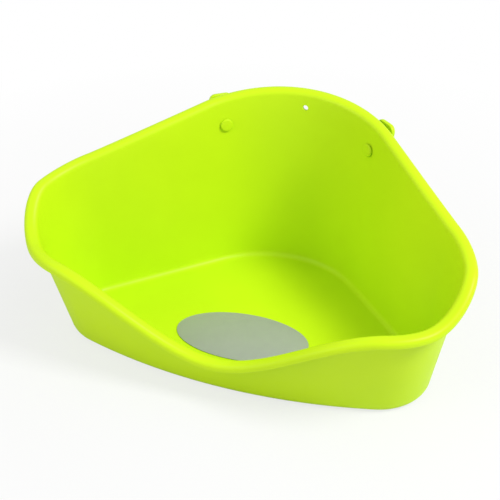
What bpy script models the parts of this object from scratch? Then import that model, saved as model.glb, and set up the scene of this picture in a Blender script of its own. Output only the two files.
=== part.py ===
"""Corner litter pan for small pets: a thin moulded tray with two turn locks and a floor sticker."""

import math

import bmesh
import bpy
from mathutils import Matrix, Vector

# Plan of the pan's base: a back disc and two side discs, joined by straight walls and a bowed front.
# BACK_Y follows from the rest, so that the two straight walls meet at a right angle.
SIDE_X = 0.0910
SIDE_RADIUS = 0.0355
BACK_RADIUS = 0.0755
BACK_Y = SIDE_X - math.sqrt(2.0) * (BACK_RADIUS - SIDE_RADIUS)
FRONT_RADIUS = 0.3660

# Walls: the lean of the outer face from upright, and the thickness of the moulding.
LEAN_BACK = math.radians(6.0)
LEAN_FRONT = math.radians(15.0)
WALL = 0.0024
FOOT_RADIUS = 0.0070

# Height of the rim's top at the back corner, the sides, the front corners and the entry.
RIM_BACK = 0.1341
RIM_SIDE = 0.0978
RIM_CORNER = 0.0781
RIM_ENTRY = 0.0328
ENTRY_HALF_WIDTH = 0.1050
RISE_SOFTEN = 0.0200
# Distance behind the side corners' centres over which the rim drops to the front corners.
CORNER_DROP_LENGTH = 0.0266

# Turned-out rim.
RIM_BEND = 0.0020
SKIRT_BEND = 0.0010
LIP = 0.0060
SKIRT = 0.0022

# Hanging hole near the top of the back corner.
HANG_HOLE_RADIUS = 0.0020
HANG_HOLE_DROP = 0.0120
HANG_HOLE_REACH = 0.0080

# Turn locks: a shaft through the wall each side of the back corner, an arm outside, a snap head inside.
LOCK_TURN = math.radians(52.0)
LOCK_DROP = 0.0200
SHAFT_RADIUS = 0.0035
SHAFT_CLEARANCE = 0.00005
LOCK_HOLE_REACH = 0.0060
COLLAR_STEP = 0.0025
COLLAR_RADIUS = SHAFT_RADIUS + COLLAR_STEP
HEAD_CATCH = 0.0010
HEAD_RADIUS = SHAFT_RADIUS + HEAD_CATCH
HEAD_THICK = 0.0014
HEAD_CHAMFER = 0.0008
ARM_STAND_OFF = 0.0085
ARM_THICK = 0.0030
ARM_WIDTH = 0.0170
ARM_LENGTH = 0.0190
ARM_CORNER = 0.0047
ARM_EDGE = 0.0006
SEAT_GAP = 0.0005

# Floor sticker.
STICKER_HALF_LENGTH = 0.0465
STICKER_HALF_WIDTH = 0.0250
STICKER_THICK = 0.0004
STICKER_X = -0.0045
STICKER_Y = 0.0050
STICKER_TURN = math.radians(4.0)
STICKER_GAP = 0.0002

# Steps round the plan and round the small turned shapes.
BACK_STEPS = 9
STRAIGHT_STEPS = 6
SIDE_STEPS = 18
FRONT_STEPS = 12
ARC_STEPS = 4
SKIRT_STEPS = 2
TURN_STEPS = 48
HANG_HOLE_STEPS = 24
ARM_END_STEPS = 12
ARM_CORNER_STEPS = 6
OVAL_STEPS = 64

# Places of the loft's extra rows, as shares of the wall's height and of the floor's reach.
WALL_ROWS = (0.33, 0.67)
FLOOR_MIDDLE = 0.25
FLOOR_RING = 0.6

# Distances within which points are made one, and the least angle of a sharp edge.
SCREW_WELD = 0.00001
CAP_WELD = 0.000001
SHARP_ANGLE = math.radians(50.0)

PAN_LIME = (0.52, 0.83, 0.012)
LOCK_LIME = (0.48, 0.78, 0.012)
STICKER_GREY = (0.52, 0.60, 0.56)


def clear_scene():
    for obj in list(bpy.data.objects):
        bpy.data.objects.remove(obj, do_unlink=True)


def new_collection(name):
    collection = bpy.data.collections.new(name)
    bpy.context.scene.collection.children.link(collection)
    return collection


def new_material(name, colour, roughness, metallic):
    material = bpy.data.materials.new(name)
    material.use_nodes = True
    shader = material.node_tree.nodes["Principled BSDF"]
    shader.inputs["Base Color"].default_value = (*colour, 1.0)
    shader.inputs["Roughness"].default_value = roughness
    shader.inputs["Metallic"].default_value = metallic
    return material


def mesh_object(name, verts, faces, material, collection):
    mesh = bpy.data.meshes.new(name)
    mesh.from_pydata(verts, [], faces)
    mesh.validate()
    obj = bpy.data.objects.new(name, mesh)
    collection.objects.link(obj)
    if material:
        mesh.materials.append(material)
    return obj


def smooth_step(value):
    value = min(max(value, 0.0), 1.0)
    return value * value * (3.0 - 2.0 * value)


def wall_angle():
    """Plan angle of the straight back wall's outward normal on the +X side."""
    span = Vector((SIDE_X, -BACK_Y))
    toward = span.normalized()
    along = (BACK_RADIUS - SIDE_RADIUS) / span.length
    across = Vector((-toward.y, toward.x))
    normal = along * toward + math.sqrt(1.0 - along * along) * across
    return math.atan2(normal.y, normal.x)


def front_centre_y():
    return math.sqrt((FRONT_RADIUS - SIDE_RADIUS) ** 2 - SIDE_X**2)


def half_outline():
    """Stations from the back centre round the +X side to the front centre: (point, outward normal)."""
    turn = wall_angle()
    front_y = front_centre_y()
    front_turn = math.atan2(-front_y, SIDE_X)
    stations = []

    def add_arc(centre, radius, start, end, steps, first):
        for step in range(first, steps + 1):
            angle = start + (end - start) * step / steps
            normal = Vector((math.cos(angle), math.sin(angle)))
            stations.append((Vector(centre) + normal * radius, normal))

    add_arc((0.0, BACK_Y), BACK_RADIUS, math.pi / 2, turn, BACK_STEPS, 0)
    start = stations[-1][0]
    normal = stations[-1][1]
    end = Vector((SIDE_X, 0.0)) + normal * SIDE_RADIUS
    for step in range(1, STRAIGHT_STEPS):
        stations.append((start.lerp(end, step / STRAIGHT_STEPS), normal))
    add_arc((SIDE_X, 0.0), SIDE_RADIUS, turn, front_turn, SIDE_STEPS, 0)
    add_arc((0.0, front_y), FRONT_RADIUS, front_turn, -math.pi / 2, FRONT_STEPS, 1)
    return stations


def full_outline():
    """Closed loop of stations, clockwise seen from above, mirrored exactly about X = 0."""
    right = half_outline()
    left = [(Vector((-p.x, p.y)), Vector((-n.x, n.y))) for p, n in reversed(right[1:-1])]
    right[0] = (Vector((0.0, right[0][0].y)), Vector((0.0, 1.0)))
    right[-1] = (Vector((0.0, right[-1][0].y)), Vector((0.0, -1.0)))
    return right + left


def rim_height(point):
    """Height of the rim's top above the ground at one station of the base plan."""
    back = BACK_Y + BACK_RADIUS
    rise = 0.5 * (point.y + math.hypot(point.y, RISE_SOFTEN))
    height = RIM_SIDE + (RIM_BACK - RIM_SIDE) * rise / back
    height += (RIM_CORNER - RIM_SIDE) * smooth_step(-point.y / CORNER_DROP_LENGTH)
    if point.y < 0.0:
        dip = 1.0 - smooth_step(abs(point.x) / ENTRY_HALF_WIDTH)
        height += (RIM_ENTRY - RIM_CORNER) * dip
    return height


def wall_lean(normal):
    """The back corner and straight walls lean by LEAN_BACK, and the lean eases to LEAN_FRONT in front."""
    straight = math.sin(wall_angle())
    blend = smooth_step((straight - normal.y) / (1.0 + straight))
    return LEAN_BACK + (LEAN_FRONT - LEAN_BACK) * blend


def section(height, lean):
    """Outer face of the moulding from the floor's edge to the skirt: (offset from the base plan, Z)."""
    slope = math.tan(lean)
    sweep = math.pi / 2 - lean
    points = []
    foot = FOOT_RADIUS * (1.0 - math.sin(lean)) * slope - FOOT_RADIUS * math.cos(lean)
    for step in range(ARC_STEPS + 1):
        angle = sweep * step / ARC_STEPS
        across = foot + FOOT_RADIUS * math.sin(angle)
        points.append((across, FOOT_RADIUS * (1.0 - math.cos(angle))))
    bend_z = height - WALL - RIM_BEND
    bend = RIM_BEND * math.cos(lean) + (bend_z + RIM_BEND * math.sin(lean)) * slope
    low = points[-1][1]
    high = bend_z + RIM_BEND * math.sin(lean)
    for part in WALL_ROWS:
        z = low + (high - low) * part
        points.append((z * slope, z))
    for step in range(ARC_STEPS + 1):
        angle = lean + sweep * step / ARC_STEPS
        points.append((bend - RIM_BEND * math.cos(angle), bend_z + RIM_BEND * math.sin(angle)))
    edge = height * slope + LIP - WALL
    for step in range(SKIRT_STEPS + 1):
        angle = math.pi / 2 * step / SKIRT_STEPS
        across = edge - SKIRT_BEND + SKIRT_BEND * math.sin(angle)
        points.append((across, height - WALL - SKIRT_BEND + SKIRT_BEND * math.cos(angle)))
    points.append((edge, height - WALL - SKIRT_BEND - SKIRT))
    return points


def build_pan_shell(material, collection):
    """One loft of the outer face, then Solidify inwards by the wall's thickness."""
    stations = full_outline()
    columns = []
    for point, normal in stations:
        column = []
        for across, z in section(rim_height(point), wall_lean(normal)):
            place = point + normal * across
            column.append((place.x, place.y, z))
        columns.append(column)
    count = len(columns)
    rows = len(columns[0])
    middle = Vector((0.0, FLOOR_MIDDLE * BACK_Y, 0.0))
    verts = [tuple(middle)]
    verts += [tuple(middle.lerp(Vector(column[0]), FLOOR_RING)) for column in columns]
    for row in range(rows):
        verts += [column[row] for column in columns]
    faces = []
    for i in range(count):
        after = (i + 1) % count
        faces.append((0, 1 + i, 1 + after))
        for row in range(rows):
            near = 1 + row * count
            far = near + count
            faces.append((near + after, near + i, far + i, far + after))
    pan = mesh_object("pan", verts, faces, material, collection)
    pan.data.shade_smooth()
    pan.data.set_sharp_from_angle(angle=SHARP_ANGLE)
    solidify = pan.modifiers.new("wall", "SOLIDIFY")
    solidify.thickness = WALL
    solidify.offset = -1.0
    solidify.use_even_offset = True
    solidify.use_rim = True
    return pan


def lock_frame(side):
    """Frame of one lock on the wall's outer face: Z out of the wall and square to it, Y up the wall."""
    normal = Vector((math.cos(LOCK_TURN), math.sin(LOCK_TURN)))
    foot = Vector((0.0, BACK_Y)) + normal * BACK_RADIUS
    up_wall = rim_height(foot) - LOCK_DROP
    place = foot + normal * (up_wall * math.tan(LEAN_BACK))
    out = Vector((normal.x * math.cos(LEAN_BACK), normal.y * math.cos(LEAN_BACK), -math.sin(LEAN_BACK)))
    up = Vector((normal.x * math.sin(LEAN_BACK), normal.y * math.sin(LEAN_BACK), math.cos(LEAN_BACK)))
    origin = Vector((place.x * side, place.y, up_wall))
    out.x *= side
    up.x *= side
    across = up.cross(out)
    frame = Matrix((across, up, out)).transposed().to_4x4()
    frame.translation = origin
    return frame


def turned(name, profile, frame, material, collection, steps=TURN_STEPS):
    """Solid of revolution about the frame's Z, from an (radius, Z) profile."""
    verts = [(radius, 0.0, z) for radius, z in profile]
    edges = [(i, i + 1) for i in range(len(profile) - 1)]
    mesh = bpy.data.meshes.new(name)
    mesh.from_pydata(verts, edges, [])
    obj = bpy.data.objects.new(name, mesh)
    collection.objects.link(obj)
    if material:
        mesh.materials.append(material)
    obj.matrix_world = frame
    screw = obj.modifiers.new("turn", "SCREW")
    screw.axis = "Z"
    screw.steps = steps
    screw.render_steps = steps
    screw.use_merge_vertices = True
    screw.merge_threshold = SCREW_WELD
    return obj


def cut(target, cutter, name):
    boolean = target.modifiers.new(name, "BOOLEAN")
    boolean.operation = "DIFFERENCE"
    boolean.solver = "EXACT"
    boolean.object = cutter
    cutter.hide_render = True
    cutter.display_type = "WIRE"


def join(target, added, name):
    boolean = target.modifiers.new(name, "BOOLEAN")
    boolean.operation = "UNION"
    boolean.solver = "EXACT"
    boolean.object = added
    added.hide_render = True
    added.display_type = "WIRE"


def flat_outline(name, points, thick, collection):
    """Closed outline in XY, filled and drawn out by half its thickness each way."""
    curve = bpy.data.curves.new(name, "CURVE")
    curve.dimensions = "2D"
    curve.fill_mode = "BOTH"
    curve.extrude = thick / 2
    spline = curve.splines.new("POLY")
    spline.points.add(len(points) - 1)
    for spot, (x, y) in zip(spline.points, points):
        spot.co = (x, y, 0.0, 1.0)
    spline.use_cyclic_u = True
    obj = bpy.data.objects.new(name, curve)
    collection.objects.link(obj)
    return obj


def as_mesh(obj):
    """The curve object's solid as a mesh object, its caps welded to its sides."""
    graph = bpy.context.evaluated_depsgraph_get()
    mesh = bpy.data.meshes.new_from_object(obj.evaluated_get(graph))
    bm = bmesh.new()
    bm.from_mesh(mesh)
    bmesh.ops.remove_doubles(bm, verts=bm.verts, dist=CAP_WELD)
    bm.to_mesh(mesh)
    bm.free()
    name = obj.name
    collection = obj.users_collection[0]
    bpy.data.objects.remove(obj, do_unlink=True)
    made = bpy.data.objects.new(name, mesh)
    collection.objects.link(made)
    return made


def arm_outline():
    """Half circle round the shaft's axis at the bottom, two rounded corners at the top."""
    radius = ARM_WIDTH / 2
    inset = radius - ARM_CORNER
    top = ARM_LENGTH - ARM_CORNER
    outline = []
    for x, y, size, start, steps in (
        (0.0, 0.0, radius, math.pi, ARM_END_STEPS),
        (0.0, 0.0, radius, 1.5 * math.pi, ARM_END_STEPS),
        (inset, top, ARM_CORNER, 0.0, ARM_CORNER_STEPS),
        (-inset, top, ARM_CORNER, 0.5 * math.pi, ARM_CORNER_STEPS),
    ):
        first = 1 if start == 1.5 * math.pi else 0
        for step in range(first, steps + 1):
            angle = start + 0.5 * math.pi * step / steps
            outline.append((x + size * math.cos(angle), y + size * math.sin(angle)))
    return outline


def build_arm_blank(name, frame, collection):
    """Rounded bar with its lower end round the shaft's axis and its upper end near the rim."""
    arm = as_mesh(flat_outline(name, arm_outline(), ARM_THICK, collection))
    arm.data.shade_smooth()
    arm.data.set_sharp_from_angle(angle=SHARP_ANGLE)
    arm.matrix_world = frame @ Matrix.Translation((0.0, 0.0, ARM_STAND_OFF + ARM_THICK / 2))
    bevel = arm.modifiers.new("edges", "BEVEL")
    bevel.width = ARM_EDGE
    bevel.segments = 2
    bevel.limit_method = "ANGLE"
    bevel.angle_limit = SHARP_ANGLE
    return arm


def build_lock(side, word, pan, material, parts, cutters):
    """Shaft, collar and snap head turned as one solid, with the arm joined to it."""
    frame = lock_frame(side)
    inner = -WALL - SEAT_GAP
    head_low = inner - HEAD_THICK
    profile = [
        (0.0, ARM_STAND_OFF + 0.5 * ARM_THICK),
        (COLLAR_RADIUS, ARM_STAND_OFF + 0.5 * ARM_THICK),
        (COLLAR_RADIUS, SEAT_GAP),
        (SHAFT_RADIUS, SEAT_GAP),
        (SHAFT_RADIUS, inner),
        (HEAD_RADIUS, inner),
        (HEAD_RADIUS, head_low + HEAD_CHAMFER),
        (HEAD_RADIUS - HEAD_CHAMFER, head_low),
        (0.0, head_low),
    ]
    lock = turned("lock_" + word, profile, frame, material, parts)
    arm = build_arm_blank("arm_blank_" + word, frame, cutters)
    join(lock, arm, "arm")
    reach = LOCK_HOLE_REACH
    radius = SHAFT_RADIUS + SHAFT_CLEARANCE
    hole = [(0.0, reach), (radius, reach), (radius, -reach), (0.0, -reach)]
    cutter = turned("lock_hole_" + word, hole, frame, None, cutters)
    cut(pan, cutter, "lock_hole_" + word)
    return lock


def build_hang_hole(pan, cutters):
    """Small round hole square to the back corner's face, on the middle plane."""
    lean = wall_lean(Vector((0.0, 1.0)))
    z = RIM_BACK - HANG_HOLE_DROP
    y = BACK_Y + BACK_RADIUS + z * math.tan(lean)
    out = Vector((0.0, math.cos(lean), -math.sin(lean)))
    across = Vector((1.0, 0.0, 0.0))
    frame = Matrix((across, out.cross(across), out)).transposed().to_4x4()
    frame.translation = Vector((0.0, y, z))
    reach = HANG_HOLE_REACH
    radius = HANG_HOLE_RADIUS
    profile = [(0.0, reach), (radius, reach), (radius, -reach), (0.0, -reach)]
    cutter = turned("hang_hole", profile, frame, None, cutters, HANG_HOLE_STEPS)
    cut(pan, cutter, "hang_hole")


def build_sticker(material, collection):
    """Flat oval laid on the floor."""
    oval = []
    for step in range(OVAL_STEPS):
        angle = 2.0 * math.pi * step / OVAL_STEPS
        oval.append((STICKER_HALF_LENGTH * math.cos(angle), STICKER_HALF_WIDTH * math.sin(angle)))
    sticker = flat_outline("floor_sticker", oval, STICKER_THICK, collection)
    sticker.location = (STICKER_X, STICKER_Y, WALL + STICKER_GAP + STICKER_THICK / 2)
    sticker.rotation_euler.z = STICKER_TURN
    sticker.data.materials.append(material)
    return sticker


def build():
    clear_scene()
    parts = new_collection("corner_litter_pan")
    cutters = new_collection("cutters")
    cutters.hide_render = True
    plastic = new_material("pan_plastic", PAN_LIME, 0.35, 0.0)
    lock_plastic = new_material("lock_plastic", LOCK_LIME, 0.35, 0.0)
    paper = new_material("sticker_face", STICKER_GREY, 0.45, 0.0)
    pan = build_pan_shell(plastic, parts)
    build_lock(1.0, "right", pan, lock_plastic, parts, cutters)
    build_lock(-1.0, "left", pan, lock_plastic, parts, cutters)
    build_hang_hole(pan, cutters)
    build_sticker(paper, parts)


build()
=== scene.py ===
import math

import bmesh
import bpy
from mathutils import Matrix, Vector


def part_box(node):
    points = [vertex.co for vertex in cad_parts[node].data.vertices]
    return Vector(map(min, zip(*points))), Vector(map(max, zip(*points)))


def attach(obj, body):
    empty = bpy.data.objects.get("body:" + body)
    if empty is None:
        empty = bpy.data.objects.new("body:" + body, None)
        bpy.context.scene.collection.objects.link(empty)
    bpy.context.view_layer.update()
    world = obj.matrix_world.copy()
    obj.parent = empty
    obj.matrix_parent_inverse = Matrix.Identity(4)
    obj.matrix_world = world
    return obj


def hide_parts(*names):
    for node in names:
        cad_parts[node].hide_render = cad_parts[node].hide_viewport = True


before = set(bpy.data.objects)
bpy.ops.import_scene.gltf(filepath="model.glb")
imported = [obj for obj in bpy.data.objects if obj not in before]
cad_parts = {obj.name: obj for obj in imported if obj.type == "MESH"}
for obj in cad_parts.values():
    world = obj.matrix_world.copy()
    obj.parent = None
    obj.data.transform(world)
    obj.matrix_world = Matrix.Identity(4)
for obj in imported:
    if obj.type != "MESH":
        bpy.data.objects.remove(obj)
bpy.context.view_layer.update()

# ---------------------------------------------------------------------------
# The pan: one thin shell of lime polypropylene, injection moulded. A flat
# floor, walls that lean outwards, a low entry in front and a high back corner,
# with a rim turned out and down all round for stiffness.

SIDE_X = 0.0910
SIDE_RADIUS = 0.0355
BACK_RADIUS = 0.0755
BACK_Y = SIDE_X - math.sqrt(2.0) * (BACK_RADIUS - SIDE_RADIUS)
FRONT_RADIUS = 0.3660
STRAIGHT_TURN = math.pi / 4

LEAN_BACK = math.radians(6.0)
LEAN_FRONT = math.radians(15.0)
WALL = 0.0024
FOOT_RADIUS = 0.0070

RIM_BACK = 0.1341
RIM_SIDE = 0.0978
RIM_CORNER = 0.0781
RIM_ENTRY = 0.0328
ENTRY_HALF_WIDTH = 0.1050
RISE_SOFTEN = 0.0200
CORNER_DROP_LENGTH = 0.0266

RIM_BEND = 0.0020
SKIRT_BEND = 0.0010
LIP = 0.0060
SKIRT = 0.0022
RIM_EDGE = 0.0005
FLOOR_INSET = 0.0008

CORNER_STATIONS = 36
STRAIGHT_STATIONS = 20
SIDE_STATIONS = 60
FRONT_STATIONS = 60
FOOT_ROWS = 10
WALL_ROWS = 12
BEND_ROWS = 8
SKIRT_ROWS = 6
DRILL_SIDES = 64
BEVEL_ANGLE = math.radians(60.0)
PAN_SHARP_ANGLE = math.radians(50.0)

LIME = (0.565, 0.800, 0.0085)
LIME_DEEP = (0.525, 0.765, 0.0075)


def smooth_step(value):
    value = min(max(value, 0.0), 1.0)
    return value * value * (3.0 - 2.0 * value)


def arc_stations(centre, radius, start, end, steps):
    """Points on an arc of the base plan, each with its outward normal."""
    made = []
    for step in range(steps):
        angle = start + (end - start) * step / steps
        normal = Vector((math.cos(angle), math.sin(angle), 0.0))
        made.append((Vector(centre) + normal * radius, normal))
    return made


def base_plan():
    """Stations round the base, clockwise from the back: corner, wall, side and half the front, mirrored."""
    front_y = math.sqrt((FRONT_RADIUS - SIDE_RADIUS) ** 2 - SIDE_X**2)
    front_turn = math.atan2(-front_y, SIDE_X)
    right = arc_stations((0.0, BACK_Y, 0.0), BACK_RADIUS, math.pi / 2, STRAIGHT_TURN, CORNER_STATIONS)
    normal = Vector((math.cos(STRAIGHT_TURN), math.sin(STRAIGHT_TURN), 0.0))
    start = Vector((0.0, BACK_Y, 0.0)) + normal * BACK_RADIUS
    end = Vector((SIDE_X, 0.0, 0.0)) + normal * SIDE_RADIUS
    for step in range(STRAIGHT_STATIONS):
        right.append((start.lerp(end, step / STRAIGHT_STATIONS), normal))
    right += arc_stations((SIDE_X, 0.0, 0.0), SIDE_RADIUS, STRAIGHT_TURN, front_turn, SIDE_STATIONS)
    right += arc_stations((0.0, front_y, 0.0), FRONT_RADIUS, front_turn, -math.pi / 2, FRONT_STATIONS)
    centre_front = (Vector((0.0, front_y - FRONT_RADIUS, 0.0)), Vector((0.0, -1.0, 0.0)))
    left = [(Vector((-p.x, p.y, 0.0)), Vector((-n.x, n.y, 0.0))) for p, n in reversed(right[1:])]
    return right + [centre_front] + left


def rim_height(point):
    """Height of the rim's top over one point of the base plan."""
    rise = 0.5 * (point.y + math.hypot(point.y, RISE_SOFTEN))
    height = RIM_SIDE + (RIM_BACK - RIM_SIDE) * rise / (BACK_Y + BACK_RADIUS)
    height += (RIM_CORNER - RIM_SIDE) * smooth_step(-point.y / CORNER_DROP_LENGTH)
    if point.y < 0.0:
        dip = 1.0 - smooth_step(abs(point.x) / ENTRY_HALF_WIDTH)
        height += (RIM_ENTRY - RIM_CORNER) * dip
    return height


def wall_lean(normal):
    """How far the wall leans out: even round the back, more towards the front."""
    straight = math.sin(STRAIGHT_TURN)
    blend = smooth_step((straight - normal.y) / (1.0 + straight))
    return LEAN_BACK + (LEAN_FRONT - LEAN_BACK) * blend


def wall_section(height, lean):
    """Outer face from the floor's edge to the skirt, as (distance out from the base plan, height)."""
    slope = math.tan(lean)
    sweep = math.pi / 2 - lean
    foot = FOOT_RADIUS * (1.0 - math.sin(lean)) * slope - FOOT_RADIUS * math.cos(lean)
    points = [(foot - FLOOR_INSET, 0.0)]
    for step in range(FOOT_ROWS + 1):
        angle = sweep * step / FOOT_ROWS
        points.append((foot + FOOT_RADIUS * math.sin(angle), FOOT_RADIUS * (1.0 - math.cos(angle))))
    bend_z = height - WALL - RIM_BEND
    bend = RIM_BEND * math.cos(lean) + (bend_z + RIM_BEND * math.sin(lean)) * slope
    low = points[-1][1]
    high = bend_z + RIM_BEND * math.sin(lean)
    for step in range(1, WALL_ROWS):
        z = low + (high - low) * step / WALL_ROWS
        points.append((z * slope, z))
    for step in range(BEND_ROWS + 1):
        angle = lean + sweep * step / BEND_ROWS
        points.append((bend - RIM_BEND * math.cos(angle), bend_z + RIM_BEND * math.sin(angle)))
    edge = height * slope + LIP - WALL
    for step in range(SKIRT_ROWS + 1):
        angle = math.pi / 2 * step / SKIRT_ROWS
        across = edge - SKIRT_BEND + SKIRT_BEND * math.sin(angle)
        points.append((across, height - WALL - SKIRT_BEND + SKIRT_BEND * math.cos(angle)))
    points.append((edge, height - WALL - SKIRT_BEND - SKIRT))
    return points


def pan_surface():
    """The shell's outer face: the floor's outline, drawn up ring by ring to the skirt."""
    stations = base_plan()
    columns = [wall_section(rim_height(p), wall_lean(n)) for p, n in stations]
    bm = bmesh.new()
    places = [p + n * column[0][0] for (p, n), column in zip(stations, columns)]
    ring = [bm.verts.new(place) for place in places]
    edges = [bm.edges.new((a, b)) for a, b in zip(ring, ring[1:] + ring[:1])]
    bmesh.ops.contextual_create(bm, geom=edges)
    for row in range(1, len(columns[0])):
        drawn = bmesh.ops.extrude_edge_only(bm, edges=edges)["geom"]
        edges = [g for g in drawn if isinstance(g, bmesh.types.BMEdge)]
        fresh = {tuple(g.co): g for g in drawn if isinstance(g, bmesh.types.BMVert)}
        ring = [fresh[tuple(old.co)] for old in ring]
        for vert, (p, n), column in zip(ring, stations, columns):
            across, z = column[row]
            vert.co = p + n * across + Vector((0.0, 0.0, z))
    bmesh.ops.recalc_face_normals(bm, faces=bm.faces)
    lowest = min(bm.faces, key=lambda face: face.calc_center_median().z)
    if lowest.normal.z > 0.0:
        bmesh.ops.reverse_faces(bm, faces=bm.faces)
    return bm


def add_piece(name, bm):
    """A finished bmesh as an object of the scene."""
    mesh = bpy.data.meshes.new(name)
    bm.to_mesh(mesh)
    bm.free()
    piece = bpy.data.objects.new(name, mesh)
    bpy.context.scene.collection.objects.link(piece)
    return piece


def bake_modifiers(piece):
    """Keeps the modifiers' result as the piece's own mesh."""
    graph = bpy.context.evaluated_depsgraph_get()
    finished = bpy.data.meshes.new_from_object(piece.evaluated_get(graph))
    piece.modifiers.clear()
    piece.data = finished


def drill(piece, bores):
    """Round holes through a piece: each bore is (frame, radius, reach), with the frame's Z along it."""
    drills = []
    for number, (place, radius, reach) in enumerate(bores):
        bm = bmesh.new()
        bmesh.ops.create_cone(
            bm, cap_ends=True, segments=DRILL_SIDES, radius1=radius, radius2=radius, depth=2 * reach, matrix=place
        )
        tool = add_piece("drill_" + str(number), bm)
        hole = piece.modifiers.new("hole", "BOOLEAN")
        hole.object = tool
        hole.solver = "EXACT"
        drills.append(tool)
    bake_modifiers(piece)
    for tool in drills:
        bpy.data.objects.remove(tool, do_unlink=True)


def wall_frame(turn, drop, side=1.0):
    """Frame on the back wall's outer face: Z square out of the wall, Y up it, drop below the rim's top."""
    normal = Vector((math.cos(turn), math.sin(turn), 0.0))
    foot = Vector((0.0, BACK_Y, 0.0)) + normal * BACK_RADIUS
    z = rim_height(foot) - drop
    origin = foot + normal * (z * math.tan(LEAN_BACK)) + Vector((0.0, 0.0, z))
    out = normal * math.cos(LEAN_BACK) - Vector((0.0, 0.0, math.sin(LEAN_BACK)))
    up = normal * math.sin(LEAN_BACK) + Vector((0.0, 0.0, math.cos(LEAN_BACK)))
    origin.x *= side
    out.x *= side
    up.x *= side
    place = Matrix((up.cross(out), up, out)).transposed().to_4x4()
    place.translation = origin
    return place


class Value:
    """One number of a material, as a socket, so that sums and products read as they are."""

    def __init__(self, finish, socket):
        self.finish = finish
        self.socket = socket

    def math(self, operation, first, second=0.0):
        return self.finish.node("ShaderNodeMath", {"operation": operation}, {0: first, 1: second})

    def __add__(self, other):
        return self.math("ADD", self, other)

    __radd__ = __add__

    def __mul__(self, other):
        return self.math("MULTIPLY", self, other)

    __rmul__ = __mul__

    def __sub__(self, other):
        return self.math("SUBTRACT", self, other)


class Finish:
    """A material on one Principled shader, with the nodes that vary it over the surface."""

    def __init__(self, name, colour, roughness, specular=0.5):
        self.material = bpy.data.materials.new(name)
        self.material.use_nodes = True
        self.tree = self.material.node_tree
        self.shader = self.tree.nodes["Principled BSDF"]
        self.feed("Base Color", (*colour, 1.0))
        self.feed("Roughness", roughness)
        self.feed("Specular IOR Level", specular)
        self.place = self.node("ShaderNodeTexCoord", {}, {}, "Object")

    def node(self, kind, settings, inputs, output=0):
        made = self.tree.nodes.new(kind)
        for name, setting in settings.items():
            if name == "stops":
                for element, (at, shade) in zip(made.color_ramp.elements, setting):
                    element.position = at
                    element.color = (shade, shade, shade, 1.0)
            else:
                setattr(made, name, setting)
        for name, value in inputs.items():
            self.join(value, made.inputs[name])
        return Value(self, made.outputs[output])

    def join(self, value, socket):
        if isinstance(value, Value):
            self.tree.links.new(value.socket, socket)
        else:
            socket.default_value = value

    def feed(self, name, value):
        self.join(value, self.shader.inputs[name])

    def noise(self, scale, detail, roughness=0.5, distortion=0.0):
        inputs = {
            "Vector": self.place,
            "Scale": scale,
            "Detail": detail,
            "Roughness": roughness,
            "Distortion": distortion,
        }
        return self.node("ShaderNodeTexNoise", {}, inputs)

    def ramp(self, value, low, high):
        """Zero below low, one above high."""
        return self.node("ShaderNodeValToRGB", {"stops": ((low, 0.0), (high, 1.0))}, {"Fac": value})

    def blend(self, factor, first, second):
        inputs = {0: factor, 6: (*first, 1.0), 7: (*second, 1.0)}
        return self.node("ShaderNodeMix", {"data_type": "RGBA"}, inputs, 2)

    def bump(self, height, strength, distance):
        inputs = {"Height": height, "Strength": strength, "Distance": distance}
        self.feed("Normal", self.node("ShaderNodeBump", {}, inputs))


def moulded_lime(name, colour, deep, roughness):
    """Glossy moulded plastic: slow drift of the pigment, fine grain from the mould, faint scuffs."""
    finish = Finish(name, colour, roughness, 0.18)
    drift = finish.noise(14.0, 2.0)
    grain = finish.noise(1500.0, 2.0)
    orange_peel = finish.noise(160.0, 1.0)
    scuff = finish.ramp(finish.noise(55.0, 6.0, 0.7, 1.5), 0.58, 0.72)
    finish.feed("Base Color", finish.blend(finish.ramp(drift, 0.3, 0.7), colour, deep))
    finish.feed("Roughness", roughness + 0.05 * (grain - 0.5) + 0.10 * scuff)
    finish.bump(0.35 * grain + 0.65 * orange_peel, 0.10, 0.0006)
    return finish.material


HANG_HOLE_RADIUS = 0.0020
HANG_HOLE_DROP = 0.0120
HANG_HOLE_REACH = 0.0080
LOCK_TURN = math.radians(52.0)
LOCK_DROP = 0.0200
LOCK_HOLE_RADIUS = 0.00355
LOCK_HOLE_REACH = 0.0060

pan = add_piece("pan_shell", pan_surface())
shell = pan.modifiers.new("wall", "SOLIDIFY")
shell.thickness = WALL
shell.offset = -1.0
shell.use_even_offset = True
edge = pan.modifiers.new("rim_edge", "BEVEL")
edge.width = RIM_EDGE
edge.segments = 3
edge.limit_method = "ANGLE"
edge.angle_limit = BEVEL_ANGLE
bake_modifiers(pan)
bores = [(wall_frame(math.pi / 2, HANG_HOLE_DROP), HANG_HOLE_RADIUS, HANG_HOLE_REACH)]
for side in (1.0, -1.0):
    bores.append((wall_frame(LOCK_TURN, LOCK_DROP, side), LOCK_HOLE_RADIUS, LOCK_HOLE_REACH))
drill(pan, bores)
pan.data.shade_smooth()
pan.data.set_sharp_from_angle(angle=PAN_SHARP_ANGLE)
pan.data.materials.clear()
pan.data.materials.append(moulded_lime("lime_polypropylene", LIME, LIME_DEEP, 0.42))
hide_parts("pan")
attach(pan, "pan")

# ---------------------------------------------------------------------------
# The turn locks: one moulding each, in the same plastic. A shaft goes through
# the wall, a low rounded snap head holds it inside, and an arm outside turns
# across the wires of a cage.

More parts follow.
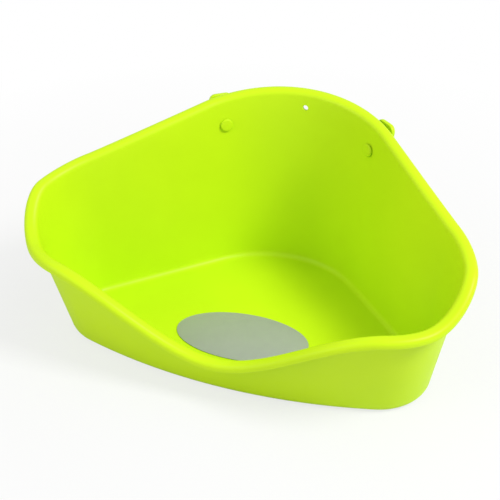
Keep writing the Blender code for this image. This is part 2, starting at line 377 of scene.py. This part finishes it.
SHAFT_RADIUS = 0.0035
COLLAR_RADIUS = 0.0060
HEAD_RADIUS = 0.0045
HEAD_THICK = 0.0014
HEAD_ROUND = 0.0008
ARM_STAND_OFF = 0.0085
ARM_THICK = 0.0030
ARM_WIDTH = 0.0170
ARM_LENGTH = 0.0190
ARM_CORNER = 0.0047
SEAT_GAP = 0.0005
COLLAR_ROUND = 0.0004
HEAD_EDGE = 0.0002
ARM_ROUND = 0.0007
RIB_SIZE = (0.0105, 0.0013, 0.0012)
RIB_ROUND = 0.0004
RIB_HEIGHTS = (0.0085, 0.0110, 0.0135)
TURN_STEPS = 64
ARM_END_STEPS = 32
ARM_CORNER_STEPS = 14
HEAD_ROWS = 4
SPIN_WELD = 0.00001
FINE_SHARP_ANGLE = math.radians(40.0)

LOCK_LIME = (0.550, 0.785, 0.0090)
LOCK_LIME_DEEP = (0.510, 0.750, 0.0080)


def turned_shaft(place):
    """Collar, shaft and snap head, spun round the frame's Z."""
    inner = -WALL - SEAT_GAP
    top = ARM_STAND_OFF + 0.5 * ARM_THICK
    profile = [
        (0.0, top),
        (COLLAR_RADIUS, top),
        (COLLAR_RADIUS, SEAT_GAP + COLLAR_ROUND),
        (COLLAR_RADIUS - COLLAR_ROUND, SEAT_GAP),
        (SHAFT_RADIUS, SEAT_GAP),
        (SHAFT_RADIUS, inner),
        (HEAD_RADIUS - HEAD_EDGE, inner),
        (HEAD_RADIUS, inner - HEAD_EDGE),
    ]
    low = inner - HEAD_THICK
    for step in range(HEAD_ROWS + 1):
        angle = math.pi / 2 * step / HEAD_ROWS
        radius = HEAD_RADIUS - HEAD_ROUND + HEAD_ROUND * math.cos(angle)
        profile.append((radius, low + HEAD_ROUND - HEAD_ROUND * math.sin(angle)))
    profile.append((0.0, low))
    bm = bmesh.new()
    verts = [bm.verts.new((radius, 0.0, z)) for radius, z in profile]
    line = verts + [bm.edges.new(pair) for pair in zip(verts, verts[1:])]
    bmesh.ops.spin(
        bm, geom=line, cent=(0.0, 0.0, 0.0), axis=(0.0, 0.0, 1.0),
        angle=2 * math.pi, steps=TURN_STEPS, use_merge=True,
    )
    bmesh.ops.remove_doubles(bm, verts=bm.verts, dist=SPIN_WELD)
    bmesh.ops.recalc_face_normals(bm, faces=bm.faces)
    bmesh.ops.transform(bm, matrix=place, verts=bm.verts)
    return bm


def arm_bar(place):
    """Flat bar with one end round the shaft's axis, rounded corners at the other, and soft edges."""
    radius = ARM_WIDTH / 2
    inset = radius - ARM_CORNER
    outline = []
    for centre, size, start, sweep in (
        ((0.0, 0.0), radius, math.pi, math.pi),
        ((inset, ARM_LENGTH - ARM_CORNER), ARM_CORNER, 0.0, math.pi / 2),
        ((-inset, ARM_LENGTH - ARM_CORNER), ARM_CORNER, math.pi / 2, math.pi / 2),
    ):
        steps = ARM_END_STEPS if size == radius else ARM_CORNER_STEPS
        for step in range(steps + 1):
            angle = start + sweep * step / steps
            outline.append((centre[0] + size * math.cos(angle), centre[1] + size * math.sin(angle)))
    bm = bmesh.new()
    face = bm.faces.new([bm.verts.new((x, y, ARM_STAND_OFF)) for x, y in outline])
    drawn = bmesh.ops.extrude_face_region(bm, geom=[face])["geom"]
    top = [g for g in drawn if isinstance(g, bmesh.types.BMVert)]
    bmesh.ops.translate(bm, vec=(0.0, 0.0, ARM_THICK), verts=top)
    bmesh.ops.recalc_face_normals(bm, faces=bm.faces)
    rims = [e for e in bm.edges if e.calc_face_angle(0.0) > BEVEL_ANGLE]
    bmesh.ops.bevel(
        bm, geom=rims, offset=ARM_ROUND, segments=3, profile=0.5, affect="EDGES", material=-1
    )
    bmesh.ops.transform(bm, matrix=place, verts=bm.verts)
    return bm


def grip_rib(place, height):
    """Low rounded rib across the arm's outer face, for a fingertip."""
    bm = bmesh.new()
    size = Matrix.Diagonal((*RIB_SIZE, 1.0))
    centre = Matrix.Translation((0.0, height, ARM_STAND_OFF + ARM_THICK))
    bmesh.ops.create_cube(bm, size=1.0, matrix=place @ centre @ size)
    bmesh.ops.bevel(
        bm, geom=list(bm.edges), offset=RIB_ROUND, segments=3, profile=0.5, affect="EDGES", material=-1
    )
    return bm


def combine(piece, others, operation):
    """Joins or cuts a piece with others, which are then gone."""
    for other in others:
        step = piece.modifiers.new(operation.lower(), "BOOLEAN")
        step.operation = operation
        step.solver = "EXACT"
        step.object = other
    bake_modifiers(piece)
    for other in others:
        bpy.data.objects.remove(other, do_unlink=True)


lock_finish = moulded_lime("lock_polypropylene", LOCK_LIME, LOCK_LIME_DEEP, 0.42)
for side, word in ((1.0, "right"), (-1.0, "left")):
    place = wall_frame(LOCK_TURN, LOCK_DROP, side)
    lock = add_piece("turn_lock_" + word, turned_shaft(place))
    added = [add_piece("arm", arm_bar(place))]
    added += [add_piece("rib", grip_rib(place, height)) for height in RIB_HEIGHTS]
    combine(lock, added, "UNION")
    lock.data.shade_smooth()
    lock.data.set_sharp_from_angle(angle=FINE_SHARP_ANGLE)
    lock.data.materials.clear()
    lock.data.materials.append(lock_finish)
    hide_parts("lock_" + word)
    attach(lock, "lock_" + word)

# ---------------------------------------------------------------------------
# The floor sticker: an oval of vinyl film on the floor, left blank, in one
# neutral grey. It is cut with a small radius on its edge and pressed flat.

STICKER_HALF_LENGTH = 0.0465
STICKER_HALF_WIDTH = 0.0250
STICKER_TURN = math.radians(4.0)
STICKER_EDGE = 0.00012
STICKER_SIDES = 160
STICKER_GREY = (0.355, 0.380, 0.345)
STICKER_GREY_DEEP = (0.320, 0.345, 0.310)

low, high = (Vector(corner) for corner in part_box("floor_sticker"))
middle = (low + high) / 2
bm = bmesh.new()
stretch = Matrix.Diagonal((STICKER_HALF_LENGTH, STICKER_HALF_WIDTH, 1.0, 1.0))
place = Matrix.Translation((middle.x, middle.y, low.z)) @ Matrix.Rotation(STICKER_TURN, 4, "Z")
bmesh.ops.create_circle(bm, cap_ends=True, segments=STICKER_SIDES, radius=1.0, matrix=place @ stretch)
drawn = bmesh.ops.extrude_face_region(bm, geom=list(bm.faces))["geom"]
top = [g for g in drawn if isinstance(g, bmesh.types.BMVert)]
bmesh.ops.translate(bm, vec=(0.0, 0.0, high.z - low.z), verts=top)
bmesh.ops.recalc_face_normals(bm, faces=bm.faces)
rims = [e for e in bm.edges if e.calc_face_angle(0.0) > BEVEL_ANGLE]
bmesh.ops.bevel(
    bm, geom=rims, offset=STICKER_EDGE, segments=2, profile=0.5, affect="EDGES", material=-1
)
sticker = add_piece("floor_sticker_film", bm)
sticker.data.shade_smooth()
sticker.data.set_sharp_from_angle(angle=FINE_SHARP_ANGLE)
film = Finish("blank_vinyl", STICKER_GREY, 0.30)
mottle = film.noise(120.0, 3.0)
film.feed("Base Color", film.blend(mottle, STICKER_GREY, STICKER_GREY_DEEP))
film.feed("Roughness", 0.28 + 0.10 * mottle)
film.bump(film.noise(60.0, 2.0), 0.12, 0.0005)
sticker.data.materials.append(film.material)
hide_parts("floor_sticker")
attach(sticker, "pan")

# ---------------------------------------------------------------------------
# The studio: a pale floor that fades to white away from the pan and keeps its
# shadow, an even white world, a key lamp over the right wall and a soft fill.

FLOOR_HALF_SIDE = 3.0
WORLD_LIGHT = 0.59
WORLD_SEEN = 1.0
LAMP_AIM = Vector((0.0, 0.03, 0.05))
PAPER_GREY = 0.72
PAPER_WHITE_NEAR = 0.72
PAPER_WHITE_FROM = 0.17
PAPER_WHITE_AT = 0.45

bm = bmesh.new()
bmesh.ops.create_grid(bm, x_segments=1, y_segments=1, size=FLOOR_HALF_SIDE)
floor = add_piece("studio_floor", bm)
paper = Finish("studio_paper", (PAPER_GREY, PAPER_GREY, PAPER_GREY), 0.9, 0.0)
away = paper.node("ShaderNodeVectorMath", {"operation": "LENGTH"}, {0: paper.place}, 1)
fade = paper.ramp(away, PAPER_WHITE_FROM, PAPER_WHITE_AT)
seen = paper.node("ShaderNodeLightPath", {}, {}, "Is Camera Ray")
glow = paper.node("ShaderNodeEmission", {}, {"Color": (1.0, 1.0, 1.0, 1.0), "Strength": 1.0})
whitening = seen * (PAPER_WHITE_NEAR + (1.0 - PAPER_WHITE_NEAR) * fade)
lit = Value(paper, paper.shader.outputs["BSDF"])
both = paper.node("ShaderNodeMixShader", {}, {0: whitening, 1: lit, 2: glow})
paper.join(both, paper.tree.nodes["Material Output"].inputs["Surface"])
floor.data.materials.append(paper.material)

world = bpy.data.worlds.new("studio")
world.use_nodes = True
bpy.context.scene.world = world
sky = world.node_tree.nodes["Background"]
rays = world.node_tree.nodes.new("ShaderNodeLightPath")
strength = world.node_tree.nodes.new("ShaderNodeMapRange")
strength.inputs["To Min"].default_value = WORLD_LIGHT
strength.inputs["To Max"].default_value = WORLD_SEEN
world.node_tree.links.new(rays.outputs["Is Camera Ray"], strength.inputs["Value"])
world.node_tree.links.new(strength.outputs["Result"], sky.inputs["Strength"])
sky.inputs["Color"].default_value = (1.0, 1.0, 1.0, 1.0)


def lamp(name, azimuth, elevation, distance, size, watts):
    """Square soft lamp aimed at the middle of the pan, placed as a view is."""
    turn = math.radians(azimuth)
    lift = math.radians(elevation)
    back = Vector((math.sin(turn) * math.cos(lift), -math.cos(turn) * math.cos(lift), math.sin(lift)))
    light = bpy.data.lights.new(name, "AREA")
    light.size = size
    light.energy = watts
    holder = bpy.data.objects.new(name, light)
    holder.location = LAMP_AIM + back * distance
    holder.rotation_euler = back.to_track_quat("Z", "Y").to_euler()
    bpy.context.scene.collection.objects.link(holder)


lamp("key", 84.0, 49.0, 1.6, 0.45, 20.5)
lamp("front_fill", -48.0, 26.0, 1.8, 1.2, 9.5)

CAMERA_AZIMUTH = math.radians(20.33)
CAMERA_ELEVATION = math.radians(34.58)
CAMERA_DISTANCE = 0.7763
CAMERA_TARGET = Vector((-0.0021, 0.0141, 0.0697))

camera = bpy.data.cameras.new("camera")
camera.lens = 84.8
camera.sensor_width = 36.0
viewer = bpy.data.objects.new("camera", camera)
aim = Vector((
    math.sin(CAMERA_AZIMUTH) * math.cos(CAMERA_ELEVATION),
    -math.cos(CAMERA_AZIMUTH) * math.cos(CAMERA_ELEVATION),
    math.sin(CAMERA_ELEVATION),
))
viewer.location = CAMERA_TARGET + aim * CAMERA_DISTANCE
viewer.rotation_euler = aim.to_track_quat("Z", "Y").to_euler()
bpy.context.scene.collection.objects.link(viewer)
bpy.context.scene.camera = viewer
bpy.context.scene.view_settings.view_transform = "Standard"
